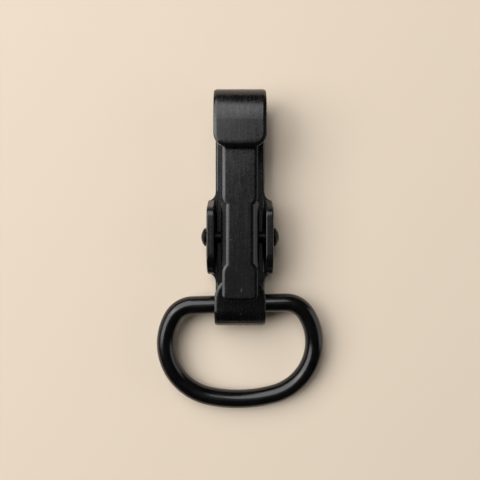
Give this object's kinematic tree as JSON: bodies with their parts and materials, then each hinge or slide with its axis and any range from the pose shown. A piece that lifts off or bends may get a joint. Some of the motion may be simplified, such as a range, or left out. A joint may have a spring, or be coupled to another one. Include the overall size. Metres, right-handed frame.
{
  "type": "flip clasp",
  "caption": "Flat sheet-steel flip clasp: a rolled hook with a sprung lever gate on a riveted pivot and a D-shaped ring for webbing.",
  "frame": {"origin": "on the back face and the centre line, straight under the rivet", "axes": "+X across the strip, +Y from the ring towards the hook, +Z out of the back face towards the gate"},
  "size_m": [0.0346, 0.0656, 0.011],
  "materials": {
    "black_paint": "satin black paint on sheet steel",
    "rivet_black": "gloss black on a headed steel rivet",
    "spring_steel": "oiled spring wire",
    "ring_black": "smooth satin-gloss black on round wire"
  },
  "bodies": {
    "clasp": {"hook_body": "black_paint", "pivot_rivet": "rivet_black", "gate_spring": "spring_steel"},
    "gate": {"gate": "black_paint"},
    "ring": {"d_ring": "ring_black"}
  },
  "joints": [
    {"name": "gate_hinge", "type": "hinge", "parent": "clasp", "child": "gate", "pos_m": [0, 0, 0.0046], "axis": [-1, 0, 0], "range_deg": [0, 17], "stiffness_Nm_per_rad": 0.05, "springref_deg": -22.92, "deforming": ["gate_spring"]},
    {"name": "ring_swing", "type": "hinge", "parent": "clasp", "child": "ring", "pos_m": [-0.00023, -0.0138, 0.00352], "axis": [-0.9996, -0.0297, 0], "range_deg": [-158, 158]}
  ]
}
